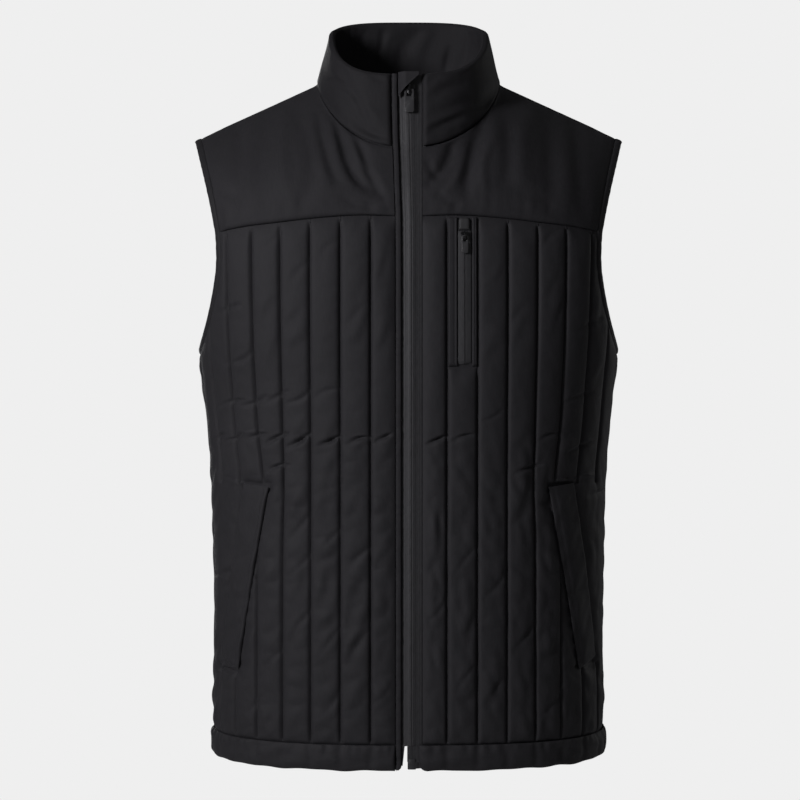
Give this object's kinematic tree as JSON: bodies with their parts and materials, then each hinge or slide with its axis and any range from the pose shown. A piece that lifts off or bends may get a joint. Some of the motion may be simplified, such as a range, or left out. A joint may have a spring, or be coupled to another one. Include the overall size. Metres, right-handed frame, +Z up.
{
  "type": "quilted vest",
  "caption": "Man's sleeveless quilted vest with plain yokes, a stand collar, a full front zip, a zipped chest pocket and slanted hand pockets, filled out as if worn.",
  "frame": {"origin": "midway between the two points where the shoulders meet the neck", "axes": "+Z up, the front faces -Y, +X to the wearer's left"},
  "size_m": [0.4278, 0.2611, 0.7353],
  "materials": {
    "quilted_cloth": "matte black woven polyester, padded",
    "plain_cloth": "matte black woven polyester",
    "zip_tape": "black woven zip tape",
    "zip_hardware": "black enamelled"
  },
  "bodies": {
    "vest": {"front_panel_left": "quilted_cloth", "front_panel_right": "quilted_cloth", "back_panel": "quilted_cloth", "hem_band_left": "quilted_cloth", "hem_band_right": "quilted_cloth", "hem_band_back": "quilted_cloth", "hand_pocket_welt_left": "quilted_cloth", "hand_pocket_welt_right": "quilted_cloth", "chest_welt_inner": "quilted_cloth", "chest_welt_outer": "quilted_cloth", "front_yoke_left": "plain_cloth", "front_yoke_right": "plain_cloth", "back_yoke": "plain_cloth", "collar_outer": "plain_cloth", "collar_inner": "plain_cloth", "edge_strip": "plain_cloth", "zip_garage": "plain_cloth", "chest_zip_tab": "plain_cloth", "armhole_binding_left": "plain_cloth", "armhole_binding_right": "plain_cloth", "zip_tape_left": "zip_tape", "zip_tape_right": "zip_tape", "chest_zip_tape_inner": "zip_tape", "chest_zip_tape_outer": "zip_tape", "zip_slider": "zip_hardware", "zip_box": "zip_hardware", "chest_slider": "zip_hardware"},
    "front_pull": {"zip_pull": "zip_hardware"},
    "pocket_pull": {"chest_pull": "zip_hardware"}
  },
  "joints": [
    {"name": "front_pull_hinge", "type": "hinge", "parent": "vest", "child": "front_pull", "pos_m": [0.00031, -0.09169, -0.01281], "axis": [-1, 0, 0], "range_deg": [0, 82]},
    {"name": "pocket_pull_hinge", "type": "hinge", "parent": "vest", "child": "pocket_pull", "pos_m": [0.05365, -0.12638, -0.15528], "axis": [-0.9986, -0.0529, 0], "range_deg": [0, 170]}
  ]
}
